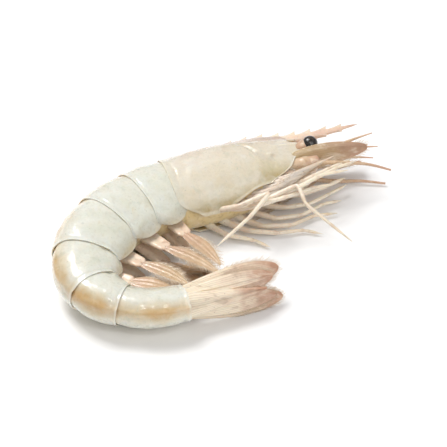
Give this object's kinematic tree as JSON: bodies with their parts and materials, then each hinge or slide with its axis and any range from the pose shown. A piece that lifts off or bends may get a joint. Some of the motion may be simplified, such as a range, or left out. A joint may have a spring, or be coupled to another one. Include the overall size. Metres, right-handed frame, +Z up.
{
  "type": "raw whole shrimp",
  "caption": "Raw whole shrimp with head and shell on, lying on its side with the abdomen curled round, tail fan closed, legs and short feelers.",
  "frame": {"origin": "on the surface the shrimp lies on, under the middle of its bounding box", "axes": "+Z up out of the right flank that shows, +X along the longest extent towards the head's feelers, +Y towards the back of the head end; the abdomen curls round at -X and the tail fan lies at -Y"},
  "size_m": [0.0806, 0.0662, 0.0161],
  "materials": {
    "shell": "wet translucent shell, bluish white on the flank and tan along the back",
    "limbs": "wet, thin and half clear, tan",
    "tail_fan": "wet, half clear, pinkish brown towards the ends",
    "eyes": "glossy black"
  },
  "bodies": {
    "root": {"shrimp": "shell"}
  },
  "joints": []
}
